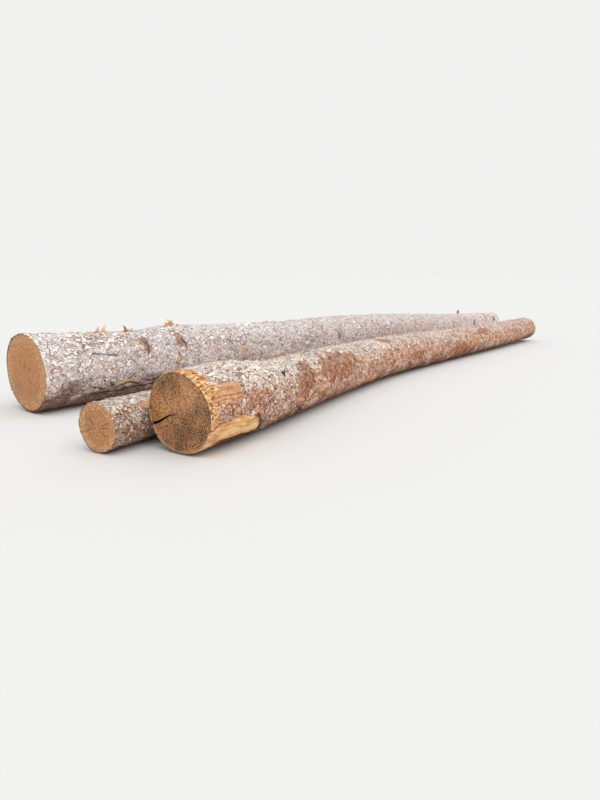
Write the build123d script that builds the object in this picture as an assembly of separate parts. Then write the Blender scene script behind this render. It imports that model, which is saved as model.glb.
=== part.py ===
from build123d import *
import math
import os

# Three felled logs lying on level ground, in millimetres.
# X runs along the front log from its thick end, Y to the rear log, Z up.
# The origin is the middle of the footprint, on the ground.

# Lengths of the logs, trim included
FRONT_LENGTH = 7730.0
REAR_LENGTH = 9300.0
MIDDLE_LENGTH = 6250.0

# Girth of each log: distance from the thick end, radius there
FRONT_GIRTH = [
    (0.0, 254.0),
    (250.0, 256.0),
    (500.0, 256.0),
    (750.0, 236.0),
    (1000.0, 226.0),
    (1400.0, 225.0),
    (1900.0, 222.0),
    (2600.0, 215.0),
    (3600.0, 208.0),
    (4800.0, 194.0),
    (6000.0, 188.0),
    (7730.0, 173.0),
]
REAR_GIRTH = [
    (0.0, 305.0),
    (650.0, 289.0),
    (1000.0, 278.0),
    (1350.0, 294.0),
    (1700.0, 285.0),
    (2300.0, 273.0),
    (3000.0, 264.0),
    (4000.0, 265.0),
    (5200.0, 250.0),
    (6400.0, 223.0),
    (7600.0, 193.0),
    (9300.0, 164.0),
]
MIDDLE_GIRTH = [
    (0.0, 160.0),
    (1500.0, 149.0),
    (3200.0, 139.0),
    (4800.0, 127.0),
    (6250.0, 112.0),
]

# Crook of each log: distance from the thick end, sideways offset of the pith there
FRONT_CROOK = [
    (0.0, 0.0),
    (800.0, 27.0),
    (2000.0, 148.0),
    (3200.0, 213.0),
    (4500.0, 126.0),
    (6000.0, -19.0),
    (7730.0, -165.0),
]
REAR_CROOK = [(0.0, 0.0), (4600.0, 25.0), (9300.0, 0.0)]
MIDDLE_CROOK = [(0.0, 0.0), (3100.0, 12.0), (6250.0, 0.0)]

# The front log's thin end stands a little off the ground, past this share of its length
FRONT_RISE = 24.0
RISE_START = 0.55

# Where the logs lie: thick ends and headings, from the front log's thick end
REAR_START_X = 175.0
REAR_START_Y = 1767.0
REAR_HEADING = -5.64
MIDDLE_START_X = -250.0
MIDDLE_HEADING = 2.2
BARK_CLEARANCE = 0.7

# Out-of-round of the trunks: number of lobes, share of the radius, direction
FRONT_LOBES = [(2, 0.012, 20.0), (3, 0.010, 75.0), (5, 0.006, 10.0)]
REAR_LOBES = [(2, 0.014, 65.0), (3, 0.008, 15.0), (5, 0.006, 40.0)]
MIDDLE_LOBES = [(2, 0.015, 0.0), (3, 0.012, 50.0)]

# Swellings round knots, and hollows below zero: distance, angle, height, spread
FRONT_SWELLS = [
    (1270.0, 148.0, 9.0, 90.0),
    (1680.0, 170.0, -9.0, 70.0),
    (2420.0, 128.0, 8.0, 110.0),
    (3900.0, 165.0, 7.0, 120.0),
    (4900.0, 118.0, 8.0, 100.0),
    (5900.0, 20.0, 7.0, 110.0),
]
REAR_SWELLS = [
    (1330.0, 158.0, 12.0, 110.0),
    (1330.0, 30.0, 12.0, 120.0),
    (1600.0, 150.0, -10.0, 80.0),
    (2350.0, 145.0, 9.0, 130.0),
    (3800.0, 196.0, 9.0, 110.0),
    (5400.0, 150.0, 8.0, 130.0),
    (7050.0, 150.0, 7.0, 100.0),
]
MIDDLE_SWELLS = [(2900.0, 70.0, 6.0, 80.0), (4500.0, 150.0, 5.0, 80.0)]

# Drying check in the thick end of the front log
CHECK_MOUTH = 14.0
CHECK_INNER_REACH = 45.0
CHECK_ANGLE = -19.0
CHECK_DEPTH = 220.0

# Slab split off the lower side of the front log, from the sawn face
TEAR_LENGTH = 500.0
TEAR_DEPTH = 15.0
TEAR_ANGLE = 210.0

# Rim of the front log's thick end, broken by the loader's jaws: angle, slope, depth
RIM_CHIPS = [
    (86.0, 70.0, 11.0),
    (106.0, 76.0, 15.0),
    (127.0, 78.0, 16.0),
    (148.0, 76.0, 15.0),
    (169.0, 60.0, 11.0),
    (189.0, 56.0, 10.0),
]
CHIP_WIDTH = 104.0

# Splinters standing on the rear log: distance, angle, height, base, lean
SPLINTERS = [
    (655.0, 97.0, 64.0, 34.0, 38.0),
    (890.0, 99.0, 58.0, 26.0, -24.0),
    (1400.0, 95.0, 40.0, 36.0, 16.0),
]

# Cut branches: distance, angle, length above the bark, radius
FRONT_STUBS = [(1270.0, 148.0, 8.0, 24.0), (4900.0, 118.0, 12.0, 18.0)]
REAR_STUBS = [(7780.0, 88.0, 56.0, 24.0), (3800.0, 196.0, 12.0, 28.0)]
MIDDLE_STUBS = [(2900.0, 70.0, 12.0, 14.0)]
STUB_SIDES = 12
STUB_TAPER = 0.72
STUB_LEAN = 0.25
STUB_ROOT = 60.0
SPLINTER_TAPER = 0.15
SPLINTER_ROOT = 25.0

# Sections of each trunk, closer together towards the thick end
SECTION_SIDES = 32
SECTION_COUNT = 26
SECTION_CROWDING = 1.3


def smooth_at(listed, distance):
    """Value at a distance, on a smooth curve through a list of distances and values."""
    last = len(listed) - 1
    slopes = []
    for i in range(last + 1):
        before = listed[max(i - 1, 0)]
        after = listed[min(i + 1, last)]
        slopes.append((after[1] - before[1]) / (after[0] - before[0]))
    i = 0
    while i < last - 1 and distance > listed[i + 1][0]:
        i += 1
    span = listed[i + 1][0] - listed[i][0]
    t = (distance - listed[i][0]) / span
    start = listed[i][1] * (1 + 2 * t) * (1 - t) ** 2 + slopes[i] * span * t * (1 - t) ** 2
    end = listed[i + 1][1] * t ** 2 * (3 - 2 * t) - slopes[i + 1] * span * t ** 2 * (1 - t)
    return start + end


class Trunk:
    """A tapered, crooked trunk in its own frame, thick end at X = 0, lying on Z = 0."""

    def __init__(self, length, girth, crook, rise, lobes, swells):
        self.length = length
        self.girth = girth
        self.crook = crook
        self.rise = rise
        self.lobes = lobes
        self.swells = swells

    def listed(self, distance, values):
        """A listed value; a list keeps its proportions when the log is cut to another length."""
        return smooth_at(values, distance / self.length * values[-1][0])

    def sway(self, distance):
        """Sideways place of the pith."""
        return self.listed(distance, self.crook)

    def reach(self, distance, angle):
        """From the pith to the bark, at an angle in degrees from +Y towards +Z."""
        radius = self.listed(distance, self.girth)
        lobe_sum = 0.0
        for count, amount, turn in self.lobes:
            lobe_sum += amount * math.cos(math.radians(count * (angle - turn)))
        swelling = 0.0
        for place, turn, height, spread in self.swells:
            arc = radius * math.radians((angle - turn + 180.0) % 360.0 - 180.0)
            away = ((distance - place) ** 2 + arc ** 2) / (2.0 * spread ** 2)
            swelling += height * math.exp(-away)
        return radius * (1.0 + lobe_sum) + swelling

    def outline(self, distance):
        """Points (Y, Z) round the trunk, counted from the pith."""
        points = []
        for i in range(SECTION_SIDES):
            angle = 360.0 * i / SECTION_SIDES
            reach = self.reach(distance, angle)
            turn = math.radians(angle)
            points.append((reach * math.cos(turn), reach * math.sin(turn)))
        return points

    def pith(self, distance):
        """Height of the pith, with the trunk's lowest line on the ground but for its rise."""
        past = max(distance / self.length - RISE_START, 0.0) / (1.0 - RISE_START)
        return self.rise * past ** 2 - min(z for y, z in self.outline(distance))

    def skin(self, distance, angle, lift=0.0):
        """A point on the bark, or a lift above it."""
        reach = self.reach(distance, angle) + lift
        turn = math.radians(angle)
        y = self.sway(distance) + reach * math.cos(turn)
        z = self.pith(distance) + reach * math.sin(turn)
        return Vector(distance, y, z)

    def solid(self):
        """Loft through closed many-sided sections along the trunk."""
        sections = []
        for i in range(SECTION_COUNT + 1):
            distance = self.length * (i / SECTION_COUNT) ** SECTION_CROWDING
            y0 = self.sway(distance)
            z0 = self.pith(distance)
            points = [Vector(distance, y0 + y, z0 + z) for y, z in self.outline(distance)]
            sections.append(Face(Wire.make_polygon(points, close=True)))
        return loft(sections, ruled=True)


def tapered(plane, corners, length, taper):
    """A straight bar with a many-sided section that narrows to a share of it."""
    small = [(x * taper, y * taper) for x, y in corners]
    wide = plane * make_face(Polyline(*corners, close=True))
    narrow = plane.offset(length) * make_face(Polyline(*small, close=True))
    return loft([wide.face(), narrow.face()], ruled=True)


def cut_branch(trunk, distance, angle, height, radius):
    """A short tapered branch that leans to the thin end, cut off square."""
    base = trunk.skin(distance, angle, -STUB_ROOT)
    tip = trunk.skin(distance, angle, height)
    growth = (tip - base).normalized() + Vector(STUB_LEAN, 0.0, 0.0)
    plane = Plane(origin=base, z_dir=growth.normalized())
    corners = []
    for i in range(STUB_SIDES):
        turn = 2.0 * math.pi * i / STUB_SIDES
        corners.append((radius * math.cos(turn), radius * math.sin(turn)))
    return tapered(plane, corners, STUB_ROOT + height, STUB_TAPER)


def splinter(trunk, distance, angle, height, base_width, lean):
    """A torn sliver: a thin pointed blade rooted in the bark."""
    foot = trunk.skin(distance, angle, -SPLINTER_ROOT)
    tip = trunk.skin(distance + lean, angle, height)
    plane = Plane(origin=foot, x_dir=(1, 0, 0), z_dir=(tip - foot).normalized())
    half = base_width / 2
    corners = [(half, 0.0), (0.2 * half, 0.45 * half), (-half, 0.1 * half), (0.0, -0.4 * half)]
    return tapered(plane, corners, (tip - foot).length, SPLINTER_TAPER)


def with_branches(trunk, branches):
    """The trunk's solid with its cut branches fused on."""
    return trunk.solid() + [cut_branch(trunk, *branch) for branch in branches]


def drying_check(trunk):
    """A wedge from the rim towards the pith, open at the sawn face."""
    pith = Vector(0.0, trunk.sway(0.0), trunk.pith(0.0))
    rim = trunk.reach(0.0, CHECK_ANGLE) + CHECK_MOUTH
    plane = Plane(origin=pith, x_dir=(0, 1, 0), z_dir=(1, 0, 0)).rotated((0, 0, CHECK_ANGLE))
    corners = [(CHECK_INNER_REACH, 0.0), (rim, -CHECK_MOUTH / 2), (rim, CHECK_MOUTH / 2)]
    outline = make_face(Polyline(*corners, close=True))
    return extrude(plane * outline, CHECK_DEPTH)


def torn_slab(trunk):
    """What is missing where a slab split off: flat inside, stepped at its far end."""
    turn = math.radians(TEAR_ANGLE)
    outward = Vector(0.0, math.cos(turn), math.sin(turn))
    near = trunk.skin(0.0, TEAR_ANGLE, -TEAR_DEPTH)
    far = trunk.skin(TEAR_LENGTH, TEAR_ANGLE, -TEAR_DEPTH)
    along = (far - near).normalized()
    plane = Plane(origin=near, x_dir=along, z_dir=outward)
    width = trunk.reach(0.0, TEAR_ANGLE)
    # The box starts before the sawn face and stops short, with a step, at the tear's end
    box = Box(
        TEAR_LENGTH * 2,
        width,
        TEAR_DEPTH * 4,
        align=(Align.CENTER, Align.CENTER, Align.MIN),
    )
    return plane * box


def rim_chips(trunk):
    """Flat chips off the edge of the sawn face, side by side round the rim."""
    chips = []
    for angle, slope, depth in RIM_CHIPS:
        turn = math.radians(angle)
        side = math.sin(math.radians(slope))
        ahead = math.cos(math.radians(slope))
        outward = Vector(-ahead, side * math.cos(turn), side * math.sin(turn))
        foot = trunk.skin(0.0, angle) - outward * depth
        box = Box(
            CHIP_WIDTH * 2,
            CHIP_WIDTH,
            depth * 3,
            align=(Align.CENTER, Align.CENTER, Align.MIN),
        )
        along = Vector(side, ahead * math.cos(turn), ahead * math.sin(turn))
        chips.append(Plane(origin=foot, x_dir=along, z_dir=outward) * box)
    return chips


def front_log(trunk):
    log = with_branches(trunk, FRONT_STUBS)
    return log - [drying_check(trunk), torn_slab(trunk), *rim_chips(trunk)]


def side_at(outline, height, sign):
    """Widest Y of a closed outline at a height, on the +Y or the -Y side."""
    best = None
    for (y0, z0), (y1, z1) in zip(outline, outline[1:] + outline[:1]):
        if min(z0, z1) <= height <= max(z0, z1) and z0 != z1:
            y = y0 + (y1 - y0) * (height - z0) / (z1 - z0)
            if best is None or sign * y > sign * best:
                best = y
    return best


def seat_against(near, far, heading, start_x):
    """Y of the far trunk's start at which its bark just meets the near trunk's."""
    slope = math.tan(math.radians(heading))
    steps = 80
    seat = -math.inf
    for i in range(steps + 1):
        distance = far.length * i / steps
        x = start_x + distance * math.cos(math.radians(heading))
        if not 0.0 <= x <= near.length:
            continue
        near_ring = near.outline(x)
        far_ring = far.outline(distance)
        near_z = near.pith(x)
        far_z = far.pith(distance)
        line = slope * (x - start_x) + far.sway(distance)
        for k in range(1, 40):
            height = 2.0 * min(near_z, far_z) * k / 40
            near_y = side_at(near_ring, height - near_z, 1)
            far_y = side_at(far_ring, height - far_z, -1)
            if near_y is not None and far_y is not None:
                seat = max(seat, near.sway(x) + near_y - far_y - line)
    return seat


def middle_log(front_trunk):
    trunk = Trunk(MIDDLE_LENGTH, MIDDLE_GIRTH, MIDDLE_CROOK, 0.0, MIDDLE_LOBES, MIDDLE_SWELLS)
    log = with_branches(trunk, MIDDLE_STUBS)
    start_y = seat_against(front_trunk, trunk, MIDDLE_HEADING, MIDDLE_START_X) + BARK_CLEARANCE
    return Location((MIDDLE_START_X, start_y, 0), (0, 0, MIDDLE_HEADING)) * log


def rear_log():
    trunk = Trunk(REAR_LENGTH, REAR_GIRTH, REAR_CROOK, 0.0, REAR_LOBES, REAR_SWELLS)
    log = with_branches(trunk, REAR_STUBS)
    log += [splinter(trunk, *one) for one in SPLINTERS]
    return Location((REAR_START_X, REAR_START_Y, 0), (0, 0, REAR_HEADING)) * log


def main():
    front_trunk = Trunk(
        FRONT_LENGTH, FRONT_GIRTH, FRONT_CROOK, FRONT_RISE, FRONT_LOBES, FRONT_SWELLS
    )
    logs = {
        "front_log": front_log(front_trunk),
        "middle_log": middle_log(front_trunk),
        "rear_log": rear_log(),
    }
    # Every face is ruled between straight edges, so the corners reach furthest
    corners = [tuple(corner) for shape in logs.values() for corner in shape.vertices()]
    low = [min(corner[axis] for corner in corners) for axis in range(3)]
    high = [max(corner[axis] for corner in corners) for axis in range(3)]
    to_origin = Location((-(low[0] + high[0]) / 2, -(low[1] + high[1]) / 2, -low[2]))
    os.makedirs("parts", exist_ok=True)
    for name, shape in logs.items():
        export_step(to_origin * shape, f"parts/{name}.step")


main()
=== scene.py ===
"""Looks of three felled logs. Metres, Z up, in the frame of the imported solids."""

import math

import bpy
import numpy as np
from mathutils import Matrix, Vector
from mathutils.bvhtree import BVHTree


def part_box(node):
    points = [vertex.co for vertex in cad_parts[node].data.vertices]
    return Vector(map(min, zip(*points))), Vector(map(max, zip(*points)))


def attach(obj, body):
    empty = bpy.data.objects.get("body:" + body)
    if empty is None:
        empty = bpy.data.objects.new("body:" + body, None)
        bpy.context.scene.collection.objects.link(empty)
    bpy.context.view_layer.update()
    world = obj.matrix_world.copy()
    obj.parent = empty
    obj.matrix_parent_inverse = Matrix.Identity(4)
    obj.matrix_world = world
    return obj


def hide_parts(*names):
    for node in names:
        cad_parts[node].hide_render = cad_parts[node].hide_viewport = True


# Camera: place, downward pitch, and heading from +X towards +Y
CAMERA_PLACE = (-7.0639, -3.3148, 1.04)
CAMERA_PITCH = 11.77
CAMERA_HEADING = 33.1
CAMERA_LENS = 27

# Light: the plain sky, its share that the camera sees, one wide lamp, and the floor under it
SKY_STRENGTH = 0.75
SEEN_SKY = 0.88
LAMP_STRENGTH = 1.35
LAMP_SPREAD = 70
LAMP_TILT = (28, -12, 0)
FLOOR_COLOUR = (0.79, 0.79, 0.78, 1)
FLOOR_HALF = 150
FLOOR_DROP = 0.002

# Each log: its heading, its thick end at the low end of its own X
HEADINGS = {"front_log": 0, "middle_log": 2.2, "rear_log": -5.64}

# Points round each log, rows along it, and how the rows crowd towards the thick end. Then where
# the rays start, the rings of a sawn face, the way along a log, and where an edge turns sharp
COLUMNS = {"front_log": 208, "middle_log": 120, "rear_log": 208}
ROWS = {"front_log": 415, "middle_log": 300, "rear_log": 415}
FIRST_STEP = 0.0045
RAY_START = 0.6
CAP_RINGS = 22
ALONG = Vector((1, 0, 0))
SHARP_ANGLE = 42

# The middle line is fitted from here on, as the broken rim spoils the widths before it
LINE_START = 0.3
LINE_STEPS = 60
LINE_DEGREE = 9

# Depths below the bark: cracks, the split in the bark and in the sawn face, the steps of the
# chewed rim, the torn slab, and the broken bark at its far end
CRACK_DEPTH = 0.006
SPLIT_DEPTH = 0.018
FACE_SPLIT_DEPTH = 0.03
CHEWED_STEP = 0.01
TEAR_DEPTH = 0.002
BROKEN_DEPTH = 0.004

# Bark patches, in metres and degrees: distance from the thick end, angle from +Y towards +Z,
# half length, half width round the log, depth below the bark, tint; a "dark" tint is painted shade in a hole
# or slit
FRONT_PATCHES = [
    (0.21, 152, 0.115, 0.08, 0.004, "tan"), (0.66, 160, 0.045, 0.11, 0, "grey"),
    (0.91, 137, 0.036, 0.024, 0.014, "dark"), (1.22, 140, 0.105, 0.09, 0.005, "bare"),
    (1.12, 165, 0.15, 0.07, 0.005, "bare"), (1.1, 187, 0.065, 0.06, 0.004, "bare"),
    (1.79, 146, 0.37, 0.125, 0.003, "bare"), (2.5, 217, 0.15, 0.03, 0.001, "tan"),
    (3.05, 112, 0.12, 0.06, 0.003, "bare"), (3.6, 182, 0.15, 0.05, 0.003, "bare"),
    (4.87, 198, 0.43, 0.08, 0.003, "bare"), (5.6, 140, 0.2, 0.06, 0.003, "bare"),
    (6.8, 169, 0.03, 0.02, 0.01, "dark"), (0.159, 113, 0.01, 0.01, 0.008, "dark"),
    (0.428, 119, 0.01, 0.012, 0.008, "dark"), (2.3, 20, 0.3, 0.07, 0.003, "bare"),
    (4.1, 330, 0.25, 0.06, 0.003, "tan"), (5.9, 35, 0.25, 0.06, 0.003, "bare"),
    (1, 355, 0.12, 0.06, 0.003, "tan"),
]
REAR_PATCHES = [
    (0.56, 126, 0.33, 0.105, 0.004, "pale"), (0.97, 143, 0.032, 0.1, 0.006, "bare"),
    (0.7, 203, 0.08, 0.055, 0.004, "tan"), (1.33, 141, 0.045, 0.095, 0.006, "bare"),
    (1.27, 177, 0.03, 0.035, 0.003, "tan"), (1.89, 151, 0.13, 0.05, 0.002, "pale"),
    (2.13, 178, 0.06, 0.04, 0.003, "tan"), (2.52, 171, 0.09, 0.045, 0.002, "pale"),
    (2.65, 200, 0.24, 0.024, 0.003, "tan"), (2.95, 178, 0.06, 0.035, 0.002, "pale"),
    (3.24, 171, 0.18, 0.08, 0, "grey"), (3.82, 174, 0.05, 0.045, 0.004, "bare"),
    (5.49, 132, 0.08, 0.05, 0.003, "tan"), (5.89, 148, 0.07, 0.05, 0.003, "tan"),
    (8.11, 173, 0.03, 0.06, 0.01, "dark"), (8.67, 138, 0.06, 0.08, 0.003, "bare"),
    (9.04, 157, 0.04, 0.05, 0.005, "dark"), (1.6, 20, 0.22, 0.08, 0.004, "pale"),
    (3.4, 45, 0.2, 0.06, 0.003, "tan"), (5, 350, 0.3, 0.07, 0.003, "pale"),
    (7, 30, 0.2, 0.05, 0.003, "tan"),
]
MIDDLE_PATCHES = [
    (0.26, 112, 0.24, 0.075, 0.003, "pale"), (0.44, 136, 0.24, 0.04, 0.003, "tan"),
    (1.6, 100, 0.45, 0.08, 0.003, "pale"), (2.6, 60, 0.26, 0.06, 0.003, "tan"),
    (3.6, 120, 0.4, 0.06, 0.003, "tan"), (4.9, 80, 0.35, 0.07, 0.003, "bare"),
    (5.7, 110, 0.2, 0.05, 0.003, "pale"),
]
# The "dark" tint is painted shade: in cracks, holes, slits and splits, and round the torn slab
TINTS = ["tan", "bare", "pale", "grey", "fresh", "torn", "dark"]

# Cracks and slits, painted dark as shade in them: width, then places along each in metres and degrees
FRONT_CRACKS = [
    (0.009, [(1.19, 121), (1.31, 143), (1.26, 170), (1.16, 186), (1.1, 202)]),
    (0.01, [(0.987, 203), (1.12, 222), (1.267, 235)]), (0.008, [(1.585, 188), (1.62, 208), (1.66, 234)]),
    (0.007, [(0.6, 75), (0.86, 88)]), (0.007, [(2.36, 95), (2.45, 128), (2.42, 150)]),
    (0.007, [(3.16, 150), (3.2, 178), (3.12, 205)]), (0.008, [(4.15, 172), (4.1, 200)]),
]
REAR_CRACKS = [
    (0.01, [(0.93, 125), (0.985, 142), (0.97, 160)]), (0.01, [(1.35, 138), (1.372, 155), (1.357, 172)]),
    (0.009, [(1.27, 158), (1.286, 175)]), (0.008, [(1.92, 140), (2, 166)]),
    (0.008, [(2.7, 150), (2.74, 176)]), (0.009, [(0.42, 150), (0.66, 158)]),
    (0.016, [(0.4, 206), (0.5, 213), (0.6, 208)]), (0.016, [(0.62, 215), (0.74, 208), (0.85, 214)]),
    (0.014, [(0.5, 197), (0.55, 201), (0.58, 206)]), (0.016, [(0.88, 206), (0.98, 212), (1.08, 206)]),
    (0.014, [(0.73, 200), (0.79, 195)]), (0.018, [(0.42, 221), (0.65, 223), (0.9, 221), (1.2, 224)]),
    (0.009, [(3.75, 150), (3.9, 172)]), (0.008, [(5.15, 140), (5.2, 166)]),
]
MIDDLE_CRACKS = [(0.007, [(0.95, 100), (1.1, 150)]), (0.007, [(2.9, 95), (3.1, 140)])]

# Torn slab and chewed rim of the front log's thick end. Each is read round or along the log:
# TEAR: distances, upper edge and lower edge as angles. CHEWED: angles, reach along the log
TEAR_PLACES = [0, 0.08, 0.16, 0.32, 0.44, 0.5, 0.53]
TEAR_UPPER = [196, 195, 193, 189, 196, 210, 226]
TEAR_LOWER = [253, 240, 230, 226, 227, 231, 233]
TEAR_END_ANGLES = [188, 196, 210, 226, 246]
TEAR_END_PLACES = [0.425, 0.462, 0.52, 0.545, 0.555]
CHEWED_ANGLES = [62, 75, 81, 100, 126, 148, 152, 171, 198, 206]
CHEWED_REACH = [0, 0.03, 0.055, 0.085, 0.105, 0.125, 0.06, 0.045, 0.05, 0]

# Sawn thick end of the front log, by tint: marks at (left, up) in shares of its radius, size.
# There "fresh" is painted light, "torn" and "bare" are painted shade, and the other tints are the weathered
# wood's own
BUTT_MARKS = {
    "tan": [(0.75, -0.08, 0.28), (0.7, -0.29, 0.22), (-0.12, 0.41, 0.3)],
    "grey": [(0.31, 0.69, 0.18), (0.57, 0.57, 0.15), (0.17, 0.84, 0.16), (-0.08, 0.91, 0.12)],
    "bare": [
        (-0.26, 0.83, 0.14), (-0.65, 0.73, 0.13), (-0.89, 0.36, 0.18), (-0.83, 0.1, 0.2),
        (-0.62, 0.19, 0.18), (-0.78, 0.5, 0.14), (-0.88, -0.08, 0.13), (-0.11, -0.27, 0.22),
        (-0.32, -0.43, 0.18), (0.03, -0.58, 0.18), (-0.62, -0.48, 0.15), (0.08, -0.9, 0.16),
        (0.98, 0.02, 0.08),
    ],
    "pale": [(-0.69, -0.29, 0.12), (-0.49, -0.62, 0.15), (-0.79, -0.13, 0.1), (0.08, 0.2, 0.16)],
    "fresh": [(-0.33, 0.4, 0.36), (0, 0.25, 0.28), (0.45, 0.08, 0.2)],
    "torn": [
        (-0.2, -0.52, 0.38), (0.2, -0.66, 0.32), (-0.55, -0.45, 0.28), (-0.76, -0.15, 0.22),
        (-0.2, -0.26, 0.18), (0.78, -0.2, 0.18), (0.4, 0.63, 0.24), (0.22, 0.56, 0.16),
    ],
}

# Drying check in the front log's sawn face: angle, and its bends at shares of the radius
CHECK_ANGLE = -25
CHECK_SHARES = [0.1, 0.18, 0.32, 0.5, 0.75, 1]
CHECK_TURNS = [-34, -12, 1, 0, -1.5, 0.5]
CHECK_INNER_REACH = 0.026
CHECK_MOUTH = 0.013
CHECK_DEPTH = 0.2

# Shreds torn up from the bark: distance, angle, height, spread, lean along the log, how many
REAR_SHREDS = [
    (0.665, 97, 0.066, 0.04, 0.03, 3), (0.57, 99, 0.024, 0.11, 0.08, 5),
    (0.895, 99, 0.062, 0.022, -0.03, 2), (0.88, 102, 0.04, 0.05, 0.05, 4),
    (1.39, 95, 0.058, 0.04, -0.015, 4), (1.37, 102, 0.036, 0.08, -0.06, 6),
    (2.75, 93, 0.012, 0.12, 0.03, 4), (4.5, 92, 0.012, 0.16, 0.03, 4),
]
# Strips of bark and bast lying on a log: places along it, width, lift of the free end, tone
FRONT_STRIPS = [
    ([(0.97, 190), (1.03, 193), (1.1, 196)], 0.026, 0.005, 0.7),
    # Below the torn slab the strips get dark tones: painted shade over the bark's own brown
    ([(0.08, 228), (0.22, 226), (0.34, 227)], 0.016, 0.004, 0.1),
    ([(0.26, 226), (0.38, 230), (0.5, 238)], 0.02, 0.005, 0.05),
    ([(0.45, 224), (0.51, 230), (0.54, 238)], 0.018, 0.004, 0.08),
    ([(1.45, 80), (1.58, 78), (1.7, 80)], 0.014, 0.008, 0.9),
]
REAR_STRIPS = [
    ([(0.48, 104), (0.58, 101), (0.7, 98)], 0.022, 0.012, 0.45),
    ([(0.84, 110), (0.88, 104), (0.91, 98)], 0.016, 0.012, 0.5),
    ([(1.24, 104), (1.31, 99), (1.4, 95)], 0.024, 0.014, 0.55),
    ([(0.9, 126), (0.93, 138), (0.95, 152)], 0.014, 0.006, 0.3),
    ([(1.3, 122), (1.32, 136), (1.34, 150)], 0.014, 0.006, 0.3),
]

# Broad loose scales on the crest: how many, lowest and highest place, lowest and highest angle
FRONT_CREST = (90, 0.1, 0.85, 66, 126)
REAR_CREST = (160, 0.3, 2.6, 66, 140)
MIDDLE_CREST = (20, 0.1, 0.6, 60, 120)

# Cut branches, as in the solids: distance, angle, length above the bark, radius
STUBS = {
    "front_log": [(1.27, 148, 0.008, 0.024), (4.9, 118, 0.012, 0.018)],
    "rear_log": [(7.78, 88, 0.056, 0.024), (3.8, 196, 0.012, 0.028)],
    "middle_log": [(2.9, 70, 0.012, 0.014)],
}
STUB_TAPER = 0.72
STUB_LEAN = 0.25
STUB_ROOT = 0.06
STUB_SIDES = 18
STUB_LEVELS = 6

# Shreds: how deep they are rooted, and the arc they bend through. Loose scales: their two faces
# above the bark, how far they lift and curl, and the angles where a log meets the ground
SHRED_ROOT = 0.01
SHRED_ARC = 1.35
FLAKE_FACES = (0.0011, -0.0005)
FLAKE_LIFTS = (0.03, 0.22)
FLAKE_CURL = 5
GROUND_ANGLES = (238, 302)

# Bark in the materials: cells per metre of its plates and chips
PLATE_SCALE = 34
CHIP_SCALE = 88
SPECULAR = 0.22


def srgb(red, green, blue):
    """A colour as it looks on a screen, from 0 to 255, made linear."""
    linear = [((c / 255 + 0.055) / 1.055) ** 2.4 for c in (red, green, blue)]
    return (linear[0], linear[1], linear[2], 1)


def smoothstep(low, high, value):
    t = np.clip((value - low) / (high - low), 0, 1)
    return t * t * (3 - 2 * t)


def turn_between(angles, angle):
    """Degrees from an angle to each of the others, from -180 to 180."""
    return (angles - angle + 180) % 360 - 180


def cell_random(cell, seed):
    """A random number from 0 to 1 for each whole-number cell."""
    whole = cell.astype(np.int64).astype(np.uint32)
    mixed = whole[..., 0] * np.uint32(0x9E3779B1)
    mixed ^= whole[..., 1] * np.uint32(0x85EBCA77)
    mixed ^= whole[..., 2] * np.uint32(0xC2B2AE3D)
    mixed ^= np.uint32((seed * 0x27D4EB2F) & 0xFFFFFFFF)
    mixed ^= mixed >> np.uint32(15)
    mixed *= np.uint32(0x85EBCA6B)
    mixed ^= mixed >> np.uint32(13)
    mixed *= np.uint32(0xC2B2AE35)
    mixed ^= mixed >> np.uint32(16)
    return mixed / 4294967296.0


def noise(points, size, seed, octaves=1):
    """Smooth noise with bumps of about one size, from -1 to 1 for its first octave."""
    total = np.zeros(points.shape[:-1])
    weight = 1
    for octave in range(octaves):
        scaled = points * (2 ** octave / size)
        cell = np.floor(scaled)
        part = scaled - cell
        fade = part * part * (3 - 2 * part)
        value = 0
        for corner in range(8):
            step = np.array([corner & 1, corner >> 1 & 1, corner >> 2 & 1])
            share = np.prod(np.where(step == 1, fade, 1 - fade), axis=-1)
            value = value + share * cell_random(cell + step, seed + 17 * octave)
        total += weight * (2 * value - 1)
        weight *= 0.5
    return total


def scales(points, size, seed):
    """Cells like bark scales: how near the edge, a random number and a tilt for each."""
    scaled = points / size
    home = np.floor(scaled)
    nearest = np.full(points.shape[:-1], 9.0)
    second = np.full(points.shape[:-1], 9.0)
    tone = np.zeros(points.shape[:-1])
    tilt = np.zeros(points.shape[:-1])
    for number in range(27):
        step = np.array([number % 3 - 1, number // 3 % 3 - 1, number // 9 - 1])
        cell = home + step
        seat = np.stack([cell_random(cell, seed + k) for k in range(3)], axis=-1)
        away = scaled - cell - seat
        distance = np.sqrt((away ** 2).sum(-1))
        closer = distance < nearest
        second = np.where(closer, nearest, np.minimum(second, distance))
        nearest = np.where(closer, distance, nearest)
        tone = np.where(closer, cell_random(cell, seed + 3), tone)
        slope = (away * (2 * seat[..., ::-1] - 1)).sum(-1)
        tilt = np.where(closer, slope, tilt)
    return second - nearest, tone, tilt


def rolled(radius, reach):
    """The radius turned by each number of columns up to a reach, both ways."""
    return [np.roll(radius, k, axis=1) for k in range(-reach, reach + 1)]


def opened(radius, reach):
    """The radius without bumps narrower than a reach of columns."""
    low = np.min(rolled(radius, reach), axis=0)
    return np.max(rolled(low, reach), axis=0)


def closed(radius, reach):
    """The radius without slots narrower than a reach of columns."""
    return -opened(-radius, reach)


def softened(radius, reach):
    """The radius evened out twice over a reach of columns."""
    radius = np.mean(rolled(radius, reach), axis=0)
    return np.mean(rolled(radius, reach), axis=0)


def rounded(radius, reach):
    """The flats of the many-sided solid rounded, with its steps and cuts kept."""
    soft = softened(radius, reach)
    keep = smoothstep(0.0025, 0.006, np.abs(radius - soft))
    return soft + keep * (radius - soft)


def squeezed(points, share):
    """Points drawn together along the log, so that noise on them is stretched along it."""
    return points * np.array([share, 1, 1])


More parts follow.
